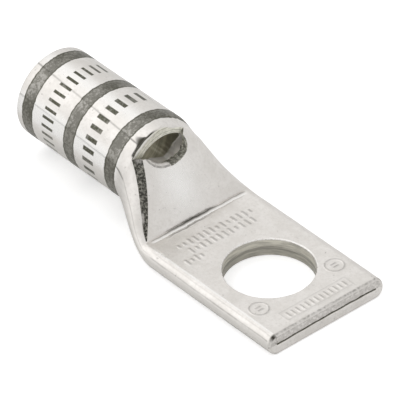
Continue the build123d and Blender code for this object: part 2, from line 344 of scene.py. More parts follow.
class Form:
    """All places worked out from the sizes, as the part's own source works them out."""

    def __init__(self, sizes):
        for name in sizes.__annotations__:
            value = getattr(sizes, name)
            setattr(self, name, value if name.endswith("_angle") else value / MM)
        self.barrel_radius = self.barrel_diameter / 2
        self.bore_radius = self.barrel_radius - self.tube_wall
        self.half_width = self.tongue_width / 2
        self.edge_radius = self.tongue_thickness / 2
        self.axis_height = self.barrel_lift + self.barrel_radius
        self.bend_x = -self.hole_to_bend
        self.shoulder_x = self.bend_x - self.ramp_run
        self.mouth_x = self.shoulder_x - self.barrel_length
        self.bulge_x = self.shoulder_x - self.bulge_start
        self.flat_x = self.bend_x + self.spread_end
        self.flat_half = self.half_width - self.edge_radius
        self.slope = tan(self.ramp_angle)
        self.top_half = self.ramp_top_width / 2
        self.top_height = self.ramp_height(self.shoulder_x)
        self.near_turn = asin(self.top_half / self.barrel_radius)
        self.far_turn = asin((self.top_half - FAR_INSET) / self.barrel_radius)

    def flattened(self, x):
        """Share of the way from round tube to flat tongue, 0 at the bulge's start and 1 on the tongue."""
        along = np.clip((x - self.bulge_x) / (self.flat_x - self.bulge_x), 0, 1) ** 0.8
        return smooth(along)

    def down(self, x):
        """Share of the way down the ramp."""
        return np.clip((x - self.shoulder_x) / self.ramp_run, 0, 1)

    def ramp_height(self, x):
        """Height of the ramp's face: the tongue's, and a straight rise back from the bend."""
        return self.tongue_thickness + np.maximum(0, self.bend_x - x) * self.slope

    def ramp_half(self, x):
        """Half width of the ramp, which grows with the share of the way down to the power 1.6."""
        return mix(self.top_half, self.flat_half - 0.1, self.down(x) ** 1.6)

    def far_half(self, x):
        """The ramp's edge on the +Y side."""
        return self.ramp_half(x) + mix(-FAR_INSET, FAR_OUTSET, self.down(x) ** 2)

    def on_barrel(self, turn):
        """Y and Z on the barrel's circle at a turn from its top."""
        return self.barrel_radius * sin(turn), self.axis_height + self.barrel_radius * cos(turn)

    def ramp_side(self, x):
        """Foot of the sheared side, as half width and height."""
        down = self.down(x)
        fade = 1 - down ** 4
        belly = self.side_depth * 4 * down * (1 - down)
        out, top = self.on_barrel(self.shoulder_angle)
        height = self.ramp_height(np.maximum(x, self.shoulder_x)) - (self.top_height - top) * fade - belly
        return self.ramp_half(x) + mix(0.1, out - self.top_half, fade), height

    def widest(self, x):
        """Half width and height of the section's widest point."""
        part = self.flattened(x)
        return mix(self.barrel_radius, self.half_width, part), mix(self.axis_height, self.edge_radius, part)


def shares(name):
    """Places of a group's columns, as shares of the way along it."""
    return np.arange(GROUPS[name]) / GROUPS[name]


def columns_of(name):
    """Slice of the grid's columns that a group takes up."""
    names = list(GROUPS)
    start = sum(GROUPS[n] for n in names[:names.index(name)])
    return slice(start, start + GROUPS[name])


def mirrored(points):
    """Control points on the -Y side, in the other order."""
    return [(-y, z) for y, z in reversed(points)]


def lower_half(form, x):
    """Flanks and underside of the section at each x: cubic curves from the widest point, under and up again."""
    part = form.flattened(x)
    widest = form.widest(x)
    turn = form.belly_angle
    belly = (mix(form.barrel_radius * sin(turn), form.flat_half, part),
             mix(form.axis_height - form.barrel_radius * cos(turn), 0, part))
    belly_turn = mix(turn, 0, part)
    pull = mix(arc_pull(pi / 2 - turn), arc_pull(pi / 2), part) * chord(widest, belly)
    low = handled(widest, -pi / 2, belly, belly_turn - pi, pull, pull)
    lowest = mix(form.barrel_lift, 0, part)
    drop = (belly[1] - lowest) / 0.75
    run = mix(4 / 3 * tan(turn / 2) * form.barrel_radius * cos(turn), 2 / 3 * form.flat_half, part)
    under = [belly, (belly[0] - run, belly[1] - drop), (run - belly[0], belly[1] - drop), (-belly[0], belly[1])]
    foot = form.ramp_side(x)
    pull = mix(arc_pull(pi / 2 - form.shoulder_angle), arc_pull(pi / 2), part) * chord(foot, widest)
    upper = handled(foot, mix(-form.shoulder_angle, 0, part ** 2), widest, -pi / 2, pull, pull)
    return [cubic(points, shares(name)) for name, points in
            (("far_low", low), ("under", under), ("near_low", mirrored(low)), ("near", mirrored(upper)))]


def far_flank(form, x):
    """The +Y side from the ramp's soft edge to the widest point: one cubic curve for each row, bent and not sheared."""
    stops = [form.bulge_x, form.shoulder_x, (form.shoulder_x + form.bend_x) / 2, form.bend_x, form.flat_x]
    settled = smooth((x - form.bulge_x) / form.bulge_start)
    round_y, round_z = form.on_barrel(form.far_turn)
    y = np.where(x < form.shoulder_x, round_y, form.far_half(x))
    z = np.where(x < form.shoulder_x, mix(round_z, form.top_height, settled), form.ramp_height(x))
    arc = form.barrel_radius * 4 / 3 * tan((pi / 2 - form.far_turn) / 4)
    full = form.edge_radius * 4 / 3 * tan(pi / 8)
    start_turn = ease(x, stops, [-form.far_turn] * 3 + [0, 0])
    start_pull = ease(x, stops, [arc, 1.0, 0.6, full, full])
    end_pull = ease(x, stops, [arc, 2.6, 1.2, full, full])
    return cubic(handled((y, z), start_turn, form.widest(x), -pi / 2, start_pull, end_pull), shares("far"))


def barrel_top(form, x):
    """Top of the barrel before the shoulder: the tube's circle, let down on the +Y side to meet the ramp.

    Its edge over the cut is rounded by a quarter circle, small where it was sheared and larger on the +Y side.
    """
    side = mix(-form.shoulder_angle, -form.near_turn, shares("side"))
    top = mix(-form.near_turn, form.far_turn, shares("top"))
    settled = smooth((x - form.bulge_x) / form.bulge_start)[:, None]
    drop = form.on_barrel(form.far_turn)[1] - form.top_height
    fall = settled * drop * smooth(np.maximum(top, 0) / form.far_turn)
    parts = []
    for turn, sunk in ((side, 0), (top, fall)):
        lip = mix(0.1, form.lip_round, smooth((turn + 0.2) / 0.5)) * smooth((form.far_turn - turn) / 0.35)
        lip = np.maximum(lip * smooth((turn - SHEAR_END) / 0.1), 0.001)
        past = np.clip(x[:, None] - form.shoulder_x + lip, 0, lip)
        inward = form.barrel_radius - (lip - np.sqrt(np.maximum(lip ** 2 - past ** 2, 0))) * 0.96
        parts.append((inward * np.sin(turn), form.axis_height + inward * np.cos(turn) - sunk))
    return parts


def ramp_top(form, x):
    """Sheared side and flat of the ramp, and of the tongue past the bend: straight lines for each row."""
    side_y, side_z = (size[:, None] for size in form.ramp_side(x))
    half, far, height = (size(x)[:, None] for size in (form.ramp_half, form.far_half, form.ramp_height))
    return [(mix(-side_y, -half, shares("side")), mix(side_z, height, shares("side"))),
            (mix(-half, far, shares("top")), np.repeat(height, GROUPS["top"], 1))]


def sections(form, x, top):
    """Rows of points at the stations x, from the top given and the flanks and underside they share."""
    parts = top(form, x) + [far_flank(form, x)] + lower_half(form, x)
    y, z = (np.concatenate(part, axis=1) for part in zip(*parts))
    return np.stack([np.broadcast_to(x[:, None], y.shape), y, z], axis=-1)


def outward(grid):
    """Unit normals of a grid of points, from the cross product of its row and column differences."""
    along = np.gradient(grid, axis=0)
    around = np.roll(grid, -1, axis=1) - np.roll(grid, 1, axis=1)
    normal = np.cross(around, along)
    return normal / np.maximum(np.linalg.norm(normal, axis=2, keepdims=True), 1e-9)


def pressed(away, half_width, soft):
    """1 within half a width of a line and 0 further away, with a soft edge."""
    return 1 - smooth((away - half_width) / soft + 0.5)


def bar(y, x, centre, half_length, half_width, turn, soft):
    """1 inside a rounded bar on the tongue and 0 outside: its distance to the bar's middle line, pressed."""
    u = (y - centre[0]) * cos(turn) + (x - centre[1]) * sin(turn)
    v = (x - centre[1]) * cos(turn) - (y - centre[0]) * sin(turn)
    return pressed(np.hypot(np.maximum(np.abs(u) - half_length, 0), v), half_width, soft)


def stamped(x, y):
    """Depth from 0 to 1 of the plain dents stamped in the tongue: three rows of bars, two rings and a framed row."""
    make = np.random.default_rng(11)
    across, along = 0.0, pi / 2
    dents = []
    for x_row, first, last, count in STAMPED_ROWS:
        for y_bar in np.linspace(first, last, count):
            centre = (y_bar, x_row + 0.03 * y_bar)
            dents.append(bar(y, x, centre, make.choice([0.2, 0.5, 0.5]), 0.2, along, 0.18))
    for y_ring, x_ring in STAMPED_RINGS:
        dents.append(pressed(np.abs(np.hypot(y - y_ring, x - x_ring) - 1.42), 0.08, 0.18))
        dents += [bar(y, x, (y_ring, x_ring + shift), 0.42, 0.1, across, 0.2) for shift in (-0.32, 0.32)]
    dents += [bar(y, x, (y_bar, FRAME_X), 0.5, 0.15, along, 0.2) for y_bar in np.linspace(-5.0, 5.5, 13)]
    dents += [0.7 * bar(y, x, (0.25, FRAME_X + side), 6.1, 0.06, across, 0.18) for side in (-FRAME_HALF, FRAME_HALF)]
    dents += [0.7 * bar(y, x, (y_line, FRAME_X), FRAME_HALF, 0.06, along, 0.18) for y_line in (-5.85, 6.35)]
    return reduce(np.maximum, dents)


def bend_profile(form, x, y):
    """Groove, soil and painted shade, lip with its painted highlight, and second line along the foot of the ramp: bells
    in X, strong in the middle of Y.
    """
    wander = 0.03 * np.sin(y * 1.7) + 0.02 * np.sin(y * 4.3 + 1)
    strong = ease(y, *zip(*STRONG_AT))
    ends = smooth((y + 9.0) / 0.8) * smooth((9.3 - y) / 0.8)
    away = x - form.bend_x - CREASE_PAST_BEND - wander
    groove = bell(away, 0, 0.06 + 0.07 * strong) * strong * ends
    soil_and_shade = bell(away, -0.02, 0.07 + 0.1 * strong, 4) * (0.35 + 0.65 * strong) * ends
    second = bell(away, 0.9 + wander, 0.08) * smooth((y + 7) / 2) * smooth((3 - y) / 4)
    return groove, soil_and_shade, bell(away, 0.42, 0.2) * ends, second


def shear_dent(form, x, y, z):
    """Depth of the sheared edge's dent and groove, from 0 to 1, and the turn about the barrel's axis.

    The dent, where a draw line meets the edge, is a bell of the turn with a fainter one beside it. The groove
    is a bell of X that runs along the edge on the -Y side of the dent.
    """
    turn = np.arctan2(y, z - form.axis_height)
    reach = 1.5 * bell(turn, DENT_TURN, radians(5)) + 0.3 * bell(turn, SECOND_DENT_TURN, radians(7))
    dent = smooth((x - form.shoulder_x) / (reach + 0.1) + 1.15) * smooth(reach / 0.5)
    groove = bell(x, form.shoulder_x - 0.05, 0.2) * smooth((GROOVE_START - turn) / 0.1)
    groove = groove * smooth((turn - SHEAR_END) / 0.06)
    return np.where(x <= form.shoulder_x, np.maximum(dent, 0.8 * groove), 0), turn


def relief(form, grid):
    """Height over the plain skin in millimetres: crease, stamped dents, rough sheared side, dent and ripple."""
    rows, columns, _ = grid.shape
    x, y, z = np.moveaxis(grid, -1, 0)
    top, side = columns_of("top"), columns_of("side")
    height = sum(size * speckle((rows, columns), (cell, cell), seed) for size, cell, seed in RIPPLES)
    height *= smooth((x - form.bulge_x) / 2.0) * smooth((form.hole_to_tip - 0.9 - x) / 0.5)
    groove, _, lip, second = bend_profile(form, x[:, top], y[:, top])
    past = smooth((x[:, top] - form.bend_x + 0.5) / 0.2)
    height[:, top] += past * (LIP_HEIGHT * lip - GROOVE_DEPTH * groove - SECOND_DEPTH * second)
    height[:, top] -= STAMP_DEPTH * stamped(x[:, top], y[:, top])
    on_ramp = (x[:, side] > form.shoulder_x) * smooth((form.bend_x - 0.3 - x[:, side]) / 0.8)
    rough = 0.09 * speckle((rows, GROUPS["side"]), (2, 2), 5) + 0.07 * speckle((rows, GROUPS["side"]), (1, 1), 6)
    height[:, side] += on_ramp * (rough - 0.03) * np.sin(shares("side") * pi) ** 0.5
    return height - DENT_DEPTH * shear_dent(form, x, y, z)[0]


def draw_marks(form, grid):
    """Dark line, grime and painted shade, rub and painted highlight, and painted shade of the sides, for each
    point of the skin, from 0 to 1, as bells about lines.
    """
    rows, columns, _ = grid.shape
    x, y, z = np.moveaxis(grid, -1, 0)
    marks = np.zeros((rows, columns, 4))
    stations = x[:, :1]
    column = np.arange(columns)[None, :]
    wander = speckle((rows, 1), (14, 1), 8)
    patchy = 0.75 + 0.25 * speckle((rows, 1), (5, 1), 9)
    on_barrel = smooth((form.shoulder_x - stations) / 0.3)
    on_flank = smooth((stations - form.bulge_x) / 1.0) * smooth((form.bend_x + 3.0 - stations) / 3.0)
    on_tongue = smooth((stations - form.bend_x - 1.0) / 2.0) * smooth((form.hole_to_tip - 0.4 - stations) / 0.3)

    def add(kind, amount, group=slice(None)):
        marks[:, group, kind] = np.maximum(marks[:, group, kind], amount)

    def line(group, place, width, strength):
        centre = columns_of(group).start + place * GROUPS[group] + 0.5 * wander
        add(LINE, strength * patchy * bell(column, centre, width))

    # Draw lines of the barrel, the -Y flank and the tongue's edge
    screw = SCREW_TURN - SCREW_TWIST * (stations - form.mouth_x)
    line("top", (screw + form.near_turn) / (form.far_turn + form.near_turn), 2.2, 0.95 * on_barrel)
    flank_stations = [form.mouth_x, form.bulge_x, FLANK_STOPS[0], form.bend_x, FLANK_STOPS[1]]
    down_flank = np.interp(stations, flank_stations[:3], [0.68, 0.53, 0.45])
    line("near", down_flank, 0.75, 0.8 * on_barrel + 0.6 * on_flank)
    line("near_low", 0.7, 1.2, 0.9 * on_tongue)
    line("near", 0.71, 1.3, 0.3 * on_tongue)
    line("near", 0.36, 1.5, 0.6 * on_tongue)

    # The foot of the ramp: painted shade and dirt in its groove and along its second line, a painted highlight on its
    # lip; painted shade in the stamped dents
    top = columns_of("top")
    _, soil_and_shade, lip, second = bend_profile(form, x[:, top], y[:, top])
    for kind, amount in ((GRIME_AND_SHADE, soil_and_shade), (GRIME_AND_SHADE, 0.6 * second), (RUB_AND_HIGHLIGHT, lip),
                         (GRIME_AND_SHADE, 0.36 * stamped(x[:, top], y[:, top]))):
        add(kind, amount, top)

    # The sheared side's bright land and chip; painted shadow along the barrel's sheared edge and in its dent; a darker
    # ring at the mouth
    side = columns_of("side")
    past = x[:, side] - form.shoulder_x - form.shear_gap * shares("side")
    ragged = 0.25 * speckle((rows, GROUPS["side"]), (1, 3), 33)
    add(RUB_AND_HIGHLIGHT, smooth((0.2 + ragged - past) / 0.3) * (x[:, side] > form.shoulder_x), side)
    add(RUB_AND_HIGHLIGHT, bell(past, 4.3, 0.4, 4) * (np.arange(GROUPS["side"]) < 5) * (1 + ragged), side)
    dent, turn = shear_dent(form, x, y, z)
    width = mix(0.24, 0.36, smooth((radians(-30) - turn) / 0.1))
    edge = bell(x, form.shoulder_x, width, 4) * smooth((turn - SHEAR_END) / 0.06) * (x <= form.shoulder_x)
    edge = edge * smooth((radians(-6) - turn) / 0.2)
    add(GRIME_AND_SHADE, np.maximum(edge, dent))
    add(LINE, edge * smooth((GROOVE_START - turn) / 0.1))
    add(GRIME_AND_SHADE, 0.22 * bell(x, form.mouth_x + 0.1, 0.2))

    # The near edge's painted highlight, and painted shade below it and on the barrel's sides
    low = columns_of("near").start
    add(RUB_AND_HIGHLIGHT, 0.7 * bell(column, low + 0.93 * GROUPS["near"], 2.2) * on_tongue)
    beside = low + np.interp(stations, flank_stations, [0.68, 0.53, 0.45, 0.45, 0.36]) * GROUPS["near"]
    below = smooth((beside - column) / 3.0) * (column >= columns_of("near_low").start)
    add(SIDE_SHADE, below * smooth((stations - form.bulge_x - 0.5) / 1.5))
    sides = np.maximum(smooth((turn - radians(16)) / 0.25), smooth((radians(-92) - turn) / 0.15))
    add(SIDE_SHADE, sides * smooth((form.bulge_x + 0.5 - stations) / 1.5))

    # Painted highlights: bright streaks on the barrel and on the ramp's middle
    shine = 0.85 * bell(turn, radians(-74), radians(15), 4) + 0.6 * bell(turn, radians(-10), radians(9))
    add(RUB_AND_HIGHLIGHT, shine * smooth((form.bulge_x + 1.5 - stations) / 1.5))
    middle = bell(stations, -19.2, 3.0) * bell(y, -0.5, 3.2) * (z > form.tongue_thickness)
    add(RUB_AND_HIGHLIGHT, 0.75 * middle * (x > form.shoulder_x))

    # Grime of the tip's upper edge and of its corner
    tip_edge = bell(stations, form.hole_to_tip - 0.2, 0.14) * (0.35 + 0.35 * speckle((rows, columns), (2, 2), 31))
    add(GRIME_AND_SHADE, tip_edge * (z > form.edge_radius))
    corner = bell(column, low + 0.75 * GROUPS["near"], 8.0)
    add(GRIME_AND_SHADE, corner * smooth((stations - form.hole_to_tip + 0.5) / 0.25))
    return marks


def tip_rings(form, rim):
    """The sheared end of the tongue: rings from its rim to the slit, and on down into the slit.

    Each ring is the rim drawn towards its middle line by a share and set back by a depth. The upper wall's face
    is rough and torn.
    """
    middle = np.clip(rim[:, 1], -form.flat_half, form.flat_half)
    inward = TIP_SHARES[:, None]
    rings = np.repeat(rim[None], len(TIP_SHARES), 0)
    bow = 0.11 * np.cos(middle / form.flat_half * pi / 2) + 0.03 * np.sin(middle * 1.9)
    rings[..., 1] = mix(rim[:, 1], middle, inward)
    rings[..., 2] = mix(rim[:, 2], form.edge_radius + bow, inward)
    lean = form.tip_lean * rings[..., 2] / form.tongue_thickness
    rough = 0.06 * speckle(rings.shape[:2], (2, 3), 12) + 0.05 * speckle(rings.shape[:2], (1, 2), 13)
    upper = smooth((rings[..., 2] - form.edge_radius) / 0.2) * smooth((0.93 - inward) / 0.1)
    rings[..., 0] = form.hole_to_tip - lean - TIP_DEPTHS[:, None] - np.abs(rough) * mix(0.25, 1.0, upper)
    return rings


def lug_skin(form):
    """The closed outside of the lug: barrel rows, the sheared step, ramp rows, tongue rows and the rounded ends."""
    rim, tip = form.rim_round, form.hole_to_tip
    quarter = np.linspace(0, pi / 2, 6)
    crease_start, crease_end = form.bend_x - 0.35, form.bend_x + 1.45
    before = np.concatenate([
        form.mouth_x + rim * (1 - np.cos(quarter)),
        np.linspace(form.mouth_x + rim, form.bulge_x, 20)[1:],
        np.linspace(form.bulge_x, form.shoulder_x - form.lip_round, 18)[1:],
        form.shoulder_x - form.lip_round * (1 - np.sin(np.linspace(0, pi / 2, 9)[1:]))])
    after = np.concatenate([
        np.linspace(form.shoulder_x + 0.03, crease_start, 46),
        np.linspace(crease_start, crease_end, 37)[1:],
        np.linspace(crease_end, tip - form.tip_round, 178)[1:],
        tip - form.tip_round * (1 - np.sin(quarter[1:]))])
    grid = np.concatenate([sections(form, before, barrel_top), sections(form, after, ramp_top)])
    inset = np.zeros(len(before) + len(after))
    inset[:6] = rim * (1 - np.sin(quarter))
    inset[-5:] = form.tip_round * (1 - np.cos(quarter[1:]))
    around = np.roll(grid, -1, axis=1) - np.roll(grid, 1, axis=1)
    flat_normal = np.stack([np.zeros(around.shape[:2]), around[..., 2], -around[..., 1]], axis=-1)
    flat_normal /= np.maximum(np.linalg.norm(flat_normal, axis=2, keepdims=True), 1e-9)
    grid = grid + flat_normal * inset[:, None, None]
    marks = draw_marks(form, grid)
    grid[..., 0] -= smooth((grid[..., 0] - tip + 3.0) / 2.6) * form.tip_lean * grid[..., 2] / form.tongue_thickness
    height = relief(form, grid)
    step = len(before)
    for plain in (slice(0, 6), slice(step - 1, step + 1), slice(-6, None)):
        height[plain] = 0
    grid = grid + outward(grid) * height[..., None]
    rings = tip_rings(form, grid[-1])
    marks = np.concatenate([marks, np.zeros((*rings.shape[:2], 4))])
    grid = np.clip(np.concatenate([grid, rings]), *(np.array(corner) / MM for corner in cad_box))
    slots = np.full((len(grid) - 1, grid.shape[1]), TIN)
    side = columns_of("side")
    middle_x = (grid[:-1, side, 0] + grid[1:, side, 0]) / 2
    slots[:, side] = np.where((middle_x > form.shoulder_x) & (middle_x < form.bend_x - 0.1), SHEARED, TIN)
    slots[step - 1, :columns_of("top").stop] = CUT
    slots[-len(rings):] = np.where(rings[..., 2] > form.edge_radius, TIP, TIN)
    slots[-3:] = SLIT
    return skin_mesh("lug_body", grid, slots, marks)


def tube_grid(x, centre_z, half_y, half_z, count):
    """Rows of ellipses along X: centre height, half width and half height for each station."""
    turn = np.linspace(0, 2 * pi, count, endpoint=False)
    y = half_y[:, None] * np.sin(turn)
    z = centre_z[:, None] + half_z[:, None] * np.cos(turn)
    return np.stack([np.broadcast_to(x[:, None], y.shape), y, z], axis=-1)


def bore_mesh(form):
    """The bore and its flared mouth: circles along X."""
    x = np.array([form.mouth_x - 1, form.mouth_x, form.mouth_x + 0.15, form.mouth_x + 0.32, form.mouth_x + 0.5,
                  form.shoulder_x + form.shear_gap / 2])
    radius = form.bore_radius + np.array([1.3, 0.5, 0.27, 0.1, 0.0, 0.0])
    return skin_mesh("bore", tube_grid(x, np.full(6, form.axis_height), radius, radius, 128))


def pocket_mesh(form):
    """The inside from the bulge on, which closes from the round bore to a seam: ellipses along X."""
    x = np.linspace(form.bulge_x + 0.01, form.bend_x - form.seam_start, 40)
    part = form.flattened(x)
    wall = mix(form.tube_wall, (form.tongue_thickness - form.seam_gap) / 2, part)
    bottom = mix(form.barrel_lift, 0, part) + wall
    lid = form.ramp_height(np.maximum(x, form.shoulder_x)) - form.tube_wall / cos(form.ramp_angle)
    lid -= 0.7 * smooth((x - form.shoulder_x - form.shear_gap) / 0.5) * smooth((form.bend_x - 2.0 - x) / 2.0)
    lid = mix(form.axis_height + form.bore_radius, lid, np.minimum(1, (x - form.bulge_x) / form.bulge_start))
    top = np.maximum(lid, bottom + form.seam_gap)
    across = mix(form.barrel_radius, form.half_width, part) - form.tube_wall
    return skin_mesh("pocket", tube_grid(x, (top + bottom) / 2, across, (top - bottom) / 2, 128))


def cut_meshes(form, start):
    """The wedge on the -Y side, drawn up Z from its plan, and the cut over the bore's end, drawn along X."""
    end = form.shoulder_x + form.shear_gap
    radius = form.window_diameter / 2
    corner = sqrt(radius ** 2 - (radius - form.window_reach) ** 2)
    far_corner = form.top_half - 1.2
    reach = form.barrel_radius * sin(form.shoulder_angle)
    above = form.axis_height + form.barrel_diameter
    plan = [(start, -reach), (end, -form.top_half), (end, far_corner), (start, far_corner)]
    heights = (form.top_height - form.shear_depth, above)
    wedge = skin_mesh("shear", np.array([[(x, y, z) for x, y in plan] for z in heights]), np.ones((1, 4)))
    rise = form.top_height + 0.4
    face = [(-corner, form.axis_height), (far_corner - 0.8, form.axis_height), (far_corner - 0.1, rise - 1.4),
            (far_corner + 1.2, rise), (far_corner + 1.2, above), (-corner, above)]
    slot = skin_mesh("slot", np.array([[(x, y, z) for y, z in face] for x in (start, end)]),
                     np.array([[0, 1, 1, 0, 0, 0]]))
    return wedge, slot


def bite_mesh(form, start):
    """The round bite in the ramp's edge: an uneven outline carried along the ramp's normal, from the inside out.

    On the -Y side it draws in by a quarter of a sine, as a rolled lip. Elsewhere it leans back with the depth,
    and is rough. Past the ramp's face it opens out.
    """
    turn = np.linspace(0, 2 * pi, 144, endpoint=False)
    along = np.array([cos(form.ramp_angle), 0, -sin(form.ramp_angle)])
    normal = np.array([sin(form.ramp_angle), 0, cos(form.ramp_angle)])
    centre_up = (form.ramp_run - form.shear_gap) / cos(form.ramp_angle) - form.window_reach + form.window_diameter / 2
    middle = np.array([form.bend_x, 0, form.tongue_thickness]) - along * centre_up
    outwards = np.cos(turn)[:, None] * -along + np.sin(turn)[:, None] * [0, 1, 0]
    edge = np.interp(turn, np.radians(BITE_TURNS), BITE_RADII)
    depth = np.concatenate([np.linspace(-form.tube_wall - 1.4, -form.bite_drop, 16),
                            np.linspace(-form.bite_drop, 0.1, 14)[1:], [3.0]])[:, None]
    near = smooth((turn - radians(180)) / 0.3) * smooth((radians(300) - turn) / 0.35)
    flare = mix(np.maximum(depth + 0.1, 0), 2.3 * np.maximum(depth, 0), near)
    lean = 0.72 * np.minimum(depth, 0) * (1 - near)
    shape = (len(depth), len(turn))
    rough = 0.15 * speckle(shape, (2, 3), 21) + 0.07 * speckle(shape, (1, 1), 22)
    rough[:, -8:] *= np.linspace(1, 0, 8)
    rough[:, :8] *= np.linspace(0, 1, 8)
    rolled = form.bite_lip * near * np.sin(np.clip(-depth / form.bite_drop, 0, 1) * pi / 2)
    out = edge + flare + lean - rolled + rough * smooth((-0.1 - depth) / 0.2) * (1 - near)
    bite = middle + normal * depth[..., None] + outwards * out[..., None]
    bite[..., 0] = np.maximum(bite[..., 0], start + 0.01)
    at = (depth[:-1] + depth[1:]) / 2
    burr = (at < -1.75) * (np.abs(turn - radians(162)) < radians(22))
    slots = np.where((at > mix(0.2, -form.bite_drop - 0.1, near)) | burr, ROLLED, TORN)
    return skin_mesh("bite", bite, np.where((near > 0.5) * (at > -0.14), EDGED, slots))


def stud_hole_mesh(form):
    """The stud hole's cutter: circles up Z, with arcs and a straight run-out that round both edges of the hole.

    A shallow ring halfway up shows where the tube's two walls meet.
    """
    radius, edge, thick = form.stud_hole / 2, form.hole_round, form.tongue_thickness
    turn = np.linspace(radians(66), 0, 5)
    low_z = np.concatenate([[-cos(turn[0])], edge * (1 - np.sin(turn))])
    low_r = np.concatenate([[sin(turn[0]) + edge], edge * (1 - np.cos(turn))])
    seam = thick / 2
    wall = np.array([thick * 0.25, seam - 0.12, seam - 0.03, seam + 0.03, seam + 0.12, thick * 0.75])
    z = np.concatenate([low_z, wall, (thick - low_z)[::-1]])
    r = radius + np.concatenate([low_r, [0, 0, 0.08, 0.08, 0, 0], low_r[::-1]])
    around = np.linspace(0, 2 * pi, 180, endpoint=False)
    grid = np.stack([r[:, None] * np.cos(around), r[:, None] * np.sin(around),
                     np.broadcast_to(z[:, None], (len(z), len(around)))], axis=-1)
    slots = np.zeros((len(z) - 1, len(around)))
    # Slot 1 on both rounded edges takes the painted highlight.
    slots[:5] = 1
    slots[-5:] = 1
    return skin_mesh("stud_hole", grid, slots)


# Finishes


class Value:
    """A number, place or colour in a node tree; sums, differences and products of numbers are Math nodes."""

    def __init__(self, nodes, socket):
        self.nodes, self.socket = nodes, socket

    def other(self, name):
        """Another output of the same node."""
        return Value(self.nodes, self.socket.node.outputs[name])

    def maths(self, operation, second=None):
        """Math node of this number and a second one."""
        return self.nodes.add("ShaderNodeMath", "Value", {0: self, 1: second}, operation=operation)

    def __add__(self, second):
        return self.maths("ADD", second)

    def __sub__(self, second):
        return self.maths("SUBTRACT", second)

    def __mul__(self, second):
        return self.maths("MULTIPLY", second)

    def larger(self, second):
        """The larger of two numbers."""
        return self.maths("MAXIMUM", second)

    def ranged(self, low, high, to_low=0.0, to_high=1.0, kind="SMOOTHSTEP"):
        """Goes from one value to another while this one goes from low to high."""
        ends = {"Value": self, "From Min": low, "From Max": high, "To Min": to_low, "To Max": to_high}
        return self.nodes.add("ShaderNodeMapRange", "Result", ends, interpolation_type=kind)

    def between(self, low, high, soft):
        """1 between two values and 0 outside, eased over the soft width at each."""
        return self.ranged(low - soft, low + soft) * self.ranged(high - soft, high + soft, 1.0, 0.0)


class Nodes:
    """Makes and links the nodes of a material or of the world."""

    def __init__(self, owner):
        owner.use_nodes = True
        self.tree = owner.node_tree
        self.tree.nodes.clear()

    def plug(self, socket, value):
        """Links a value to a socket, or sets the socket to a plain number, place or colour."""
        if isinstance(value, Value):
            self.tree.links.new(value.socket, socket)
        elif value is not None:
            socket.default_value = (*value, 1.0) if socket.type == "RGBA" else value

    def node(self, kind, inputs, **settings):
        """New node, with its settings first, as they decide which inputs it has."""
        made = self.tree.nodes.new(kind)
        for name, value in settings.items():
            setattr(made, name, value)
        for name, value in inputs.items():
            self.plug(made.inputs[name], value)
        return made

    def add(self, kind, output, inputs=None, **settings):
        """New node with these inputs and settings, as the value of one of its outputs."""
        return Value(self, self.node(kind, inputs or {}, **settings).outputs[output])

    def seen(self):
        """1 for rays from the camera or through clear surfaces, and 0 for the others."""
        ray = self.add("ShaderNodeLightPath", "Is Camera Ray")
        return ray.larger(ray.other("Is Transmission Ray"))


class Finish(Nodes):
    """A material: noises on Object coordinates, blends and bumps, and the sockets of its shader."""

    def __init__(self, name):
        self.material = bpy.data.materials.new(name)
        super().__init__(self.material)
        shader = self.add("ShaderNodeBsdfPrincipled", "BSDF")
        self.inputs = shader.socket.node.inputs
        self.node("ShaderNodeOutputMaterial", {"Surface": shader})
        self.place = self.add("ShaderNodeTexCoord", "Object")
        self.x = self.add("ShaderNodeSeparateXYZ", "X", {"Vector": self.place})
        self.y, self.z = self.x.other("Y"), self.x.other("Z")

    def turn(self, form):
        """Turn about the barrel's axis, from its top towards +Y."""
        return self.y.maths("ARCTAN2", self.z - form.axis_height * MM)

    def marks(self):
        """The skin's four marks: dark line, grime and painted shade, rub and painted highlight, and painted shade of
        the sides.
        """
        colours = self.add("ShaderNodeAttribute", "Color", attribute_name="marks")
        line = self.add("ShaderNodeSeparateColor", "Red", {"Color": colours})
        return line, line.other("Green"), line.other("Blue"), colours.other("Alpha")

    def stretched(self, scale, shift=(0, 0, 0)):
        """Object coordinates, scaled and then shifted."""
        return self.add("ShaderNodeMapping", "Vector", {"Vector": self.place, "Location": shift, "Scale": scale})

    def noise(self, scale, detail=3.0, roughness=0.5, stretch=None):
        """Noise between 0 and 1, drawn out along the axes that stretch makes small."""
        place = self.stretched(stretch) if stretch else self.place
        inputs = {"Vector": place, "Scale": scale, "Detail": detail, "Roughness": roughness}
        return self.add("ShaderNodeTexNoise", "Fac", inputs)

    def blend(self, factor, first, second):
        """The first colour where the factor is 0, and the second where it is 1."""
        return self.add("ShaderNodeMix", 2, {0: factor, 6: first, 7: second}, data_type="RGBA")

    def bump(self, height, strength, distance, normal=None):
        """Normal tilted by the slope of a height."""
        inputs = {"Height": height, "Strength": strength, "Distance": distance, "Normal": normal}
        return self.add("ShaderNodeBump", "Normal", inputs)

    def done(self, **inputs):
        """The material, with its shader's sockets linked or set."""
        for name, value in inputs.items():
            self.plug(self.inputs[name.replace("_", " ")], value)
        return self.material


def tone(colour_of, level):
    """A colour made darker or lighter."""
    return tuple(part * level for part in colour_of)


def print_masks(tin, form):
    """The three printed bands and their thicker edges; they run a little askew, as the ragged edge does."""
    along = tin.x + (tin.noise(1500.0) - 0.5) * 0.0004
    bands, edges = [], []
    for start, end, askew in BANDS:
        level = along - tin.y * askew
        low, high = (form.mouth_x + start) * MM, (form.mouth_x + end) * MM
        bands.append(level.between(low, high, 0.00007))
        edges.append(bands[-1] - level.between(low + 0.00022, high - 0.00022, 0.00012))
    return reduce(Value.larger, bands), reduce(Value.larger, edges)


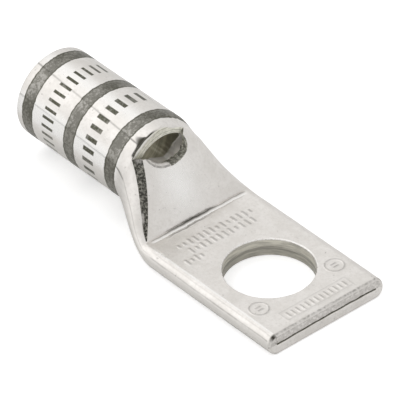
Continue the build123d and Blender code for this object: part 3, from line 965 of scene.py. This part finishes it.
def ink_bars(tin, form):
    """Two rings of plain ink bars between the bands: a share of each equal step round the barrel's axis."""
    turn, level = tin.turn(form), tin.x - tin.y * 0.03
    rings = []
    for start, end, step, thick in INK_BARS:
        part = ((turn + 10.0) * (1 / radians(step))).maths("FRACT")
        row = level.between((form.mouth_x + start) * MM, (form.mouth_x + end) * MM, 0.00007)
        rings.append(part.between(0.5 - thick / 2, 0.5 + thick / 2, 0.035) * row)
    return reduce(Value.larger, rings) * turn.between(radians(-118), radians(34), 0.01)


def tin_finish(colours, form):
    """Tin plating with soft mottle, sandy grain, hair scratches, dark draw lines, rub with painted highlights, grime
    with painted shade, painted shade on the sides, and the printed bands with a painted sheen.
    """
    tin = Finish("tin_plating")
    line, grime, rub_and_highlight, side_shade = tin.marks()
    cloud, grain = tin.noise(330.0, 4.0, 0.6), tin.noise(2400.0, 4.0, 0.65)
    streak = tin.noise(2600.0, 3.0, 0.6, stretch=(0.06, 1, 1))
    plate = tin.blend(cloud.ranged(0.35, 0.7, 0.0, 0.8), colours.tin, colours.tin_shade)
    plate = tin.blend(grain.ranged(0.42, 0.74, 0.0, 0.8), plate, colours.tin_shade)
    # Painted shade of the sides: the plating turns darker, in streaks, under the side-shade mark.
    plate = tin.blend(side_shade * streak.ranged(0.3, 0.7, 0.35, 1.0), plate, colours.tin_dull)
    hair = (tin.noise(520.0, 2.0) - 0.5).maths("ABSOLUTE")
    scratch = hair.ranged(0.0, 0.01, 0.16, 0.0) * tin.noise(260.0, 2.0).ranged(0.56, 0.66)
    speck = tin.noise(1300.0, 2.0).ranged(0.70, 0.76, 0.0, 0.3)
    plate = tin.blend(scratch.larger(speck), plate, colours.grime)
    # Rub and painted highlights: the plating turns bright under that mark.
    plate = tin.blend(rub_and_highlight, plate, colours.burnished)
    band, edge = print_masks(tin, form)
    worn = (tin.noise(2200.0, 5.0, 0.75) + (cloud - 0.5) * 0.7).ranged(0.36, 0.7)
    # Painted sheen: the bands turn to the lit ink colour where they face the soft box.
    lit = tin.turn(form).between(radians(-64), radians(-8), 0.14) * worn.ranged(0.1, 0.9, 0.16, 0.4)
    ink = tin.blend(lit, tin.blend(worn, colours.ink, colours.ink_worn), colours.ink_lit)
    ink = tin.blend(edge * 0.85, ink, colours.ink_edge)
    bars = ink_bars(tin, form) * worn.ranged(0.0, 1.0, 1.0, 0.8)
    base = tin.blend(band, tin.blend(bars, plate, colours.ink_edge), ink)
    # Grime and painted shade, and the dark lines, turn the colour to the dark one.
    base = tin.blend(grime, tin.blend(line * 0.75, base, colours.grime), colours.grime)
    rough = grain.ranged(0.3, 0.7, colours.tin_roughness - 0.06, colours.tin_roughness + 0.08)
    normal = tin.bump(tin.noise(7000.0, 2.0, 0.6), 0.3, 0.000015)
    normal = tin.bump(grain, 0.6, 0.000035, normal)
    normal = tin.bump(cloud, 0.3, 0.00012, normal)
    return tin.done(Base_Color=base, Metallic=1.0, Roughness=rough + band * 0.1 - rub_and_highlight * 0.08,
                    Normal=tin.bump(streak * side_shade, 0.4, 0.00005, normal))


def bore_finish(colours, form):
    """Inside of the tube: turned rings in the barrel, painted dark as shade away from the mouth, and lighter where it
    closes, past an uneven edge, with painted light growing away from that edge and a painted highlight along it.

    The edge lies where X passes a place that draws back with the turn about the axis, in three straight runs.
    """
    inside = Finish("bore_wall")
    turn = inside.turn(form)
    streak = inside.noise(900.0, 3.0, 0.6, stretch=(1, 0.12, 0.12))
    past = inside.x + (inside.noise(600.0, 4.0, 0.65) - 0.5) * 0.0005
    for low, high, fall in POCKET_EDGE:
        past = past + turn.ranged(radians(low), radians(high), 0.0, fall * MM, "LINEAR")
    edge, mouth = (form.bulge_x + 0.1) * MM, form.mouth_x * MM
    closing = past.ranged(edge - 0.0001, edge + 0.0002)
    # Painted highlight: a bright line along the edge where the tube closes.
    line = past.between(edge - 0.00012, edge + 0.00014, 0.0001) * turn.ranged(radians(95), radians(120), 0.9, 0.2)
    # Painted shade: dark inside the barrel, lighter only near the mouth.
    dark = inside.blend(streak.ranged(0.44, 0.66), colours.bore, tone(colours.bore, 1.6))
    plated = inside.blend(streak.ranged(0.4, 0.66), tone(colours.tin_shade, 0.8), colours.tin_dull)
    dark = inside.blend(inside.x.ranged(mouth, mouth + 0.018), plated, dark)
    # Painted light: the closing part grows lighter away from its edge, towards the window.
    light = inside.blend(past.ranged(edge, edge + 0.0016), tone(colours.pocket, 0.75), colours.pocket)
    light = inside.blend(streak.ranged(0.35, 0.65, 0.0, 0.3), light, tone(colours.pocket, 0.55))
    base = inside.blend(line, inside.blend(closing, dark, light), colours.burnished)
    return inside.done(Base_Color=base, Metallic=closing.ranged(0.0, 1.0, 0.7, 0.4),
                       Roughness=closing.ranged(0.0, 1.0, 0.42, 0.5), Normal=inside.bump(streak, 0.4, 0.00004))


def rough_finish(name, dark, light, scale, roughness, depth, bright=None, span=(0.42, 0.68)):
    """Broken, grainy metal: two colours blended over a span of a coarse noise, with a bump; bright where the skin's rub
    and highlight mark is set.
    """
    metal = Finish(name)
    coarse = metal.noise(scale, 5.0, 0.72)
    base = metal.blend(coarse.ranged(*span), dark, light)
    if bright:
        base = metal.blend(metal.marks()[RUB_AND_HIGHLIGHT], base, bright)
    return metal.done(Base_Color=base, Metallic=0.9, Normal=metal.bump(coarse, 0.8, depth),
                      Roughness=coarse.ranged(0.3, 0.7, roughness - 0.1, roughness + 0.1))


def cut_finish(colours, form):
    """Cut wall of the tube: rings about the barrel's axis, drawn out by the shear, cream and olive, with a painted
    highlight along its rounded rim and a painted shadow line at its outer edge, on the -Y side.
    """
    wall = Finish("cut_wall")
    across = wall.stretched((0, 1, 1), (0, 0, -form.axis_height * MM))
    radius = wall.add("ShaderNodeVectorMath", "Value", {0: across}, operation="LENGTH")
    radius = radius + (wall.noise(500.0, 2.0) - 0.5) * 0.0005
    rings = wall.add("ShaderNodeTexNoise", "Fac", {"W": radius, "Scale": 3200.0, "Detail": 3.0}, noise_dimensions="1D")
    mixed = rings * 0.65 + wall.noise(1600.0, 4.0, 0.7) * 0.35
    base = wall.blend(mixed.ranged(0.43, 0.6), colours.cut, colours.cut_dark)
    outside = form.barrel_radius * MM
    # Painted highlight on the rim's rounding, and a painted shadow line at the outer edge, on the -Y side.
    rim = radius.between(outside - 0.0006, outside - 0.0002, 0.00012) * wall.y.ranged(-0.0028, -0.001, 0.85, 0.0)
    outer = radius.ranged(outside - 0.0002, outside - 0.00002, 0.0, 0.9) * wall.y.ranged(-0.001, 0.0005, 1.0, 0.0)
    base = wall.blend(outer, wall.blend(rim, base, colours.burnished), colours.grime)
    return wall.done(Base_Color=base, Metallic=0.85, Roughness=0.42, Normal=wall.bump(mixed, 0.6, 0.00008))


def hole_finish(colours, form):
    """Punched wall of the stud hole: layers by height, drawn out round the hole, dark where the two walls meet,
    and with painted shade on the top of the lower wall below them.
    """
    wall = Finish("hole_wall")
    streak = wall.noise(2600.0, 4.0, 0.65, stretch=(0.13, 0.13, 1))
    height = wall.z + (wall.noise(400.0, 2.0) - 0.5) * 0.0004
    level = height.ranged(0.0, form.tongue_thickness * MM, kind="LINEAR")
    layers = wall.add("ShaderNodeValToRGB", "Color", {"Fac": level})
    stops = layers.socket.node.color_ramp.elements
    while len(stops) < len(HOLE_LAYERS):
        stops.new(0.5)
    for stop, (position, brightness) in zip(stops, HOLE_LAYERS):
        stop.position = position
        stop.color = (*np.minimum(tone(colours.hole, brightness), 1.0), 1.0)
    base = wall.blend(streak.ranged(0.38, 0.64, 0.0, 0.55), layers, tone(colours.hole, 0.45))
    return wall.done(Base_Color=base, Metallic=0.9, Roughness=0.36, Normal=wall.bump(streak, 0.5, 0.00004))


# Operators


class LUG_OT_form_tube(bpy.types.Operator):
    """Form the lug's skin, cut its openings, and put it on the CAD part's body in place of the plain node"""

    bl_idname = "lug.form_tube"
    bl_label = "Form the Lug"

    def execute(self, context):
        form = Form(context.scene.lug_sizes)
        colours = context.scene.lug_finish
        shade = colours.tin_shade
        tin, cut, inside = tin_finish(colours, form), cut_finish(colours, form), bore_finish(colours, form)
        sheared = rough_finish("sheared_side", tone(colours.sheared, 0.6), colours.sheared_light, 2600.0, 0.42, 0.0002,
                               tone(shade, 0.6), (0.46, 0.6))
        torn = rough_finish("torn_wall", colours.torn, colours.torn_light, 2100.0, 0.4, 0.00016)
        tip = rough_finish("sheared_tip", tone(shade, 0.78), colours.tin, 1900.0, 0.36, 0.00005)
        # Painted shade in the slit of the tip.
        slit = rough_finish("seam_slit", colours.slit, colours.sheared_light, 1200.0, 0.5, 0.00003)
        rolled = rough_finish("rolled_lip", tone(shade, 0.9), colours.tin, 1500.0, 0.36, 0.00005)
        # Painted shade: a darker line along the rolled lip's outer edge, where it turns down.
        edged = rough_finish("lip_edge", tone(shade, 0.5), tone(shade, 0.85), 1800.0, 0.38, 0.00004)
        # Painted highlight on the stud hole's rounded edges.
        rim_highlight = rough_finish("rubbed_edge", colours.tin, colours.burnished, 2200.0, 0.3, 0.00002)
        body = put_in_scene("lug_body", lug_skin(form), (tin, sheared, cut, tip, slit))
        start = form.shoulder_x + CUT_START
        wedge, slot = cut_meshes(form, start)
        for mesh, materials in ((bore_mesh(form), (inside,)), (pocket_mesh(form), (inside,)), (wedge, (rolled, cut)),
                                (slot, (cut, torn)), (bite_mesh(form, start), (torn, rolled, edged)),
                                (stud_hole_mesh(form), (hole_finish(colours, form), rim_highlight))):
            cut_away(body, mesh, materials)
        shade_mesh(body.data)
        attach(body, "root")
        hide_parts("cable_lug")
        return {"FINISHED"}


def cut_away(body, mesh, materials):
    """Takes a closed surface away from the body and leaves the cut faces in its materials."""
    tool = put_in_scene(mesh.name, mesh, materials)
    cut = body.modifiers.new(mesh.name, "BOOLEAN")
    cut.operation, cut.solver, cut.object = "DIFFERENCE", "EXACT", tool
    cut.material_mode = "TRANSFER"
    shown = body.evaluated_get(bpy.context.evaluated_depsgraph_get())
    made = bpy.data.meshes.new_from_object(shown)
    body.modifiers.clear()
    old, body.data = body.data, made
    made.name = old.name
    bpy.data.meshes.remove(old)
    bpy.data.objects.remove(tool)
    bpy.data.meshes.remove(mesh)


def read(items, name, kind, width=1):
    """One property of every item of a mesh, as an array of rows of this width."""
    values = np.zeros(len(items) * width, kind)
    items.foreach_get(name, values)
    return values.reshape(-1, width) if width > 1 else values


def settle_marks(mesh):
    """Gives each point that a cut has made, which holds four ones, the mean mark of the points it is joined to."""
    marks = read(mesh.attributes["marks"].data, "color", np.float32, 4)
    ends = read(mesh.edges, "vertices", np.int32, 2)
    made = marks.min(axis=1) > 0.99
    total, joined = np.zeros(marks.shape), np.zeros(len(marks))
    for first, second in (ends.T, ends[:, ::-1].T):
        np.add.at(total, first, marks[second] * ~made[second][:, None])
        np.add.at(joined, first, ~made[second])
    marks[made] = total[made] / np.maximum(joined[made], 1)[:, None]
    mesh.attributes["marks"].data.foreach_set("color", marks.ravel())


def shade_mesh(mesh):
    """Merges stray points, settles the marks, and shades smooth but for sharp turns and where two materials meet."""
    work = bmesh.new()
    work.from_mesh(mesh)
    bmesh.ops.remove_doubles(work, verts=work.verts, dist=MERGE * MM)
    bmesh.ops.dissolve_degenerate(work, dist=NO_LENGTH * MM, edges=work.edges)
    work.to_mesh(mesh)
    work.free()
    settle_marks(mesh)
    mesh.polygons.foreach_set("use_smooth", np.ones(len(mesh.polygons), bool))
    mesh.set_sharp_from_angle(angle=SHARP_TURN)
    slots = np.repeat(read(mesh.polygons, "material_index", np.int32), read(mesh.polygons, "loop_total", np.int32))
    edge_of = read(mesh.loops, "edge_index", np.int32)
    low, high = np.full(len(mesh.edges), 99), np.full(len(mesh.edges), -1)
    np.minimum.at(low, edge_of, slots)
    np.maximum.at(high, edge_of, slots)
    sharp = mesh.attributes["sharp_edge"].data
    sharp.foreach_set("value", read(sharp, "value", bool) | (low != high))
    mesh.update()


class LUG_OT_set_studio(bpy.types.Operator):
    """Lay the white floor and place the soft lamps and the camera of the photo"""

    bl_idname = "lug.set_studio"
    bl_label = "Set the Studio"

    def execute(self, context):
        studio = context.scene.lug_studio
        scene = context.scene
        floor_mesh = bpy.data.meshes.new("floor")
        corners = [(x, y, -0.02 * MM) for x, y in ((-3, -3), (3, -3), (3, 3), (-3, 3))]
        floor_mesh.from_pydata(corners, [], [(0, 1, 2, 3)])
        floor = put_in_scene("floor", floor_mesh, (floor_finish(studio),))
        scene.world = studio_world(studio)
        add_lamp("key", "AREA", studio.key_power, (-0.38, -0.24, 0.5), (-0.02, 0, 0), size=0.5)
        add_lamp("fill", "AREA", studio.fill_power, (0.35, -0.45, 0.25), (-0.01, 0, 0), size=0.3)
        add_lamp("snoot", "SPOT", studio.snoot_power, (-0.45, -0.03, 0.012), (-0.021, 0.003, 0.0065),
                 spot_size=radians(1.1), spot_blend=0.6, shadow_soft_size=0.004)
        place_camera(scene, studio)
        scene.view_settings.view_transform = "Standard"
        return {"FINISHED"}


def floor_finish(studio):
    """White floor: a lift for rays from the camera or through clear surfaces, and less for those off metal."""
    floor = Finish("studio_floor")
    in_metal = floor.add("ShaderNodeLightPath", "Is Glossy Ray") * studio.floor_lift_in_metal
    return floor.done(Base_Color=studio.floor, Roughness=0.9, Specular_IOR_Level=0.0, Emission_Color=(1, 1, 1),
                      Emission_Strength=(floor.seen() * studio.floor_lift).larger(in_metal))


def studio_world(studio):
    """White to the camera; as light and in reflections a pale dome, brightest round the soft box over the barrel.

    Its level is a plain value eased to another with the dot product of its direction and the soft box's.
    """
    world = bpy.data.worlds.new("studio")
    nodes = Nodes(world)
    directions = {0: nodes.add("ShaderNodeTexCoord", "Generated"), 1: Vector(studio.soft_box).normalized()}
    facing = nodes.add("ShaderNodeVectorMath", "Value", directions, operation="DOT_PRODUCT")
    level = facing.ranged(studio.soft_box_edge, 1.0, studio.world_level, studio.soft_box_level)
    strength = nodes.add("ShaderNodeMix", "Result", {"Factor": nodes.seen(), "A": level, "B": 1.0})
    surface = nodes.add("ShaderNodeBackground", "Background", {"Color": (1, 1, 1), "Strength": strength})
    nodes.node("ShaderNodeOutputWorld", {"Surface": surface})
    return world


def add_lamp(name, kind, power, place, target, **settings):
    """Lamp of a kind at a place, turned to its target."""
    lamp = bpy.data.lights.new(name, kind)
    lamp.energy = power
    for setting, value in settings.items():
        setattr(lamp, setting, value)
    made = bpy.data.objects.new(name, lamp)
    bpy.context.scene.collection.objects.link(made)
    made.location = place
    made.rotation_mode = "QUATERNION"
    made.rotation_quaternion = (Vector(target) - Vector(place)).to_track_quat("-Z", "Y")


def place_camera(scene, studio):
    """The photo's camera: turned round the top of the stud hole by azimuth, elevation and roll, then moved aside."""
    azimuth, elevation, roll = studio.azimuth, studio.elevation, studio.roll
    back = Vector((sin(azimuth) * cos(elevation), -cos(azimuth) * cos(elevation), sin(elevation)))
    level = Vector((cos(azimuth), sin(azimuth), 0))
    high = back.cross(level)
    right = level * cos(roll) + high * sin(roll)
    up = high * cos(roll) - level * sin(roll)
    target = Vector((0, 0, scene.lug_sizes.tongue_thickness))
    camera = bpy.data.objects.new("camera", bpy.data.cameras.new("camera"))
    scene.collection.objects.link(camera)
    camera.matrix_world = Matrix((right, up, back)).transposed().to_4x4()
    camera.location = target + back * studio.distance + right * studio.aim[0] + up * studio.aim[1]
    camera.data.sensor_width = 36.0
    camera.data.lens = studio.focal
    camera.data.clip_start, camera.data.clip_end = 0.01, 20.0
    scene.camera = camera


class LUG_PT_panel(bpy.types.Panel):
    """Lists the lug's steps and their sizes"""

    bl_idname = "LUG_PT_panel"
    bl_label = "Cable Lug"
    bl_space_type = "VIEW_3D"
    bl_region_type = "UI"
    bl_category = "Cable Lug"

    def draw(self, context):
        layout = self.layout
        for title, group in (("Sizes", context.scene.lug_sizes), ("Finish", context.scene.lug_finish),
                             ("Studio", context.scene.lug_studio)):
            box = layout.box()
            box.label(text=title)
            for name in group.__annotations__:
                box.prop(group, name)
        for step in (LUG_OT_form_tube, LUG_OT_set_studio):
            layout.operator(step.bl_idname)


CLASSES = (LugSizes, LugFinish, LugStudio, LUG_OT_form_tube, LUG_OT_set_studio, LUG_PT_panel)


def register():
    for kind in CLASSES:
        bpy.utils.register_class(kind)
    bpy.types.Scene.lug_sizes = bpy.props.PointerProperty(type=LugSizes)
    bpy.types.Scene.lug_finish = bpy.props.PointerProperty(type=LugFinish)
    bpy.types.Scene.lug_studio = bpy.props.PointerProperty(type=LugStudio)


def unregister():
    del bpy.types.Scene.lug_sizes, bpy.types.Scene.lug_finish, bpy.types.Scene.lug_studio
    for kind in reversed(CLASSES):
        bpy.utils.unregister_class(kind)


def main():
    """Registers the classes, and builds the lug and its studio."""
    register()
    bpy.ops.lug.form_tube()
    bpy.ops.lug.set_studio()


if __name__ == "__main__":
    main()
